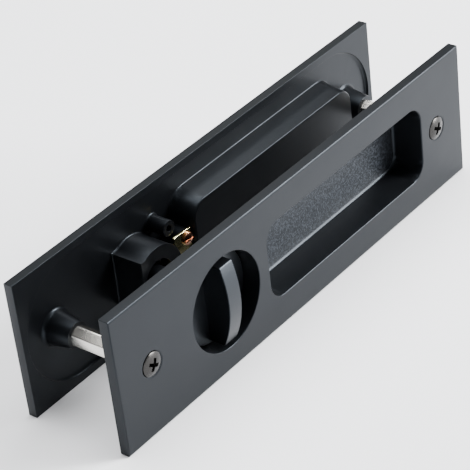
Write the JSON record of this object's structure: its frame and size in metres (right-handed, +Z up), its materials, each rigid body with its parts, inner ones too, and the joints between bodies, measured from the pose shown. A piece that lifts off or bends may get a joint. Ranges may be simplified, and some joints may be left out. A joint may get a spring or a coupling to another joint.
{
  "type": "pocket door pull",
  "caption": "Pair of rectangular flush pulls for a sliding door, each with a sunk finger recess, with a lever turn in a round cup and a coin release, joined by hexagon posts.",
  "frame": {"origin": "middle of the outline of the whole pull, on the lower edges of the two plates", "axes": "+X along the plates from the turn's end to the finger recess's end, +Y through the door from the plate with the turn to the plate with the release, +Z up"},
  "size_m": [0.24, 0.0579, 0.064],
  "materials": {
    "black_coated_zinc": "satin",
    "black_coated_turn": "satin",
    "spindle_steel": "satin",
    "nylon": "matte",
    "yellow_zinc_steel": "satin",
    "coppered_steel": "satin",
    "bright_zinc_steel": "bright",
    "dark_nickel_steel": "satin"
  },
  "bodies": {
    "plates": {"front_plate": "black_coated_zinc", "rear_plate": "black_coated_zinc", "front_retaining_plate": "yellow_zinc_steel", "front_retaining_screw_left": "coppered_steel", "front_retaining_screw_right": "coppered_steel", "rear_retaining_plate": "yellow_zinc_steel", "rear_retaining_screw_upper": "coppered_steel", "rear_retaining_screw_lower": "coppered_steel", "hex_post_near": "bright_zinc_steel", "hex_post_far": "bright_zinc_steel", "post_stud_near": "spindle_steel", "post_stud_far": "spindle_steel", "fixing_screw_near": "dark_nickel_steel", "fixing_screw_far": "dark_nickel_steel"},
    "turn": {"turn_knob": "black_coated_turn", "release_turn": "black_coated_turn", "turn_spindle": "spindle_steel", "spindle_set_screw": "spindle_steel", "front_friction_washer": "nylon", "rear_friction_washer": "nylon"}
  },
  "joints": [
    {"name": "turn_hinge", "type": "hinge", "parent": "plates", "child": "turn", "pos_m": [-0.0528, 0, 0.032], "axis": [0, 1, 0], "range_deg": [0, 90]}
  ]
}
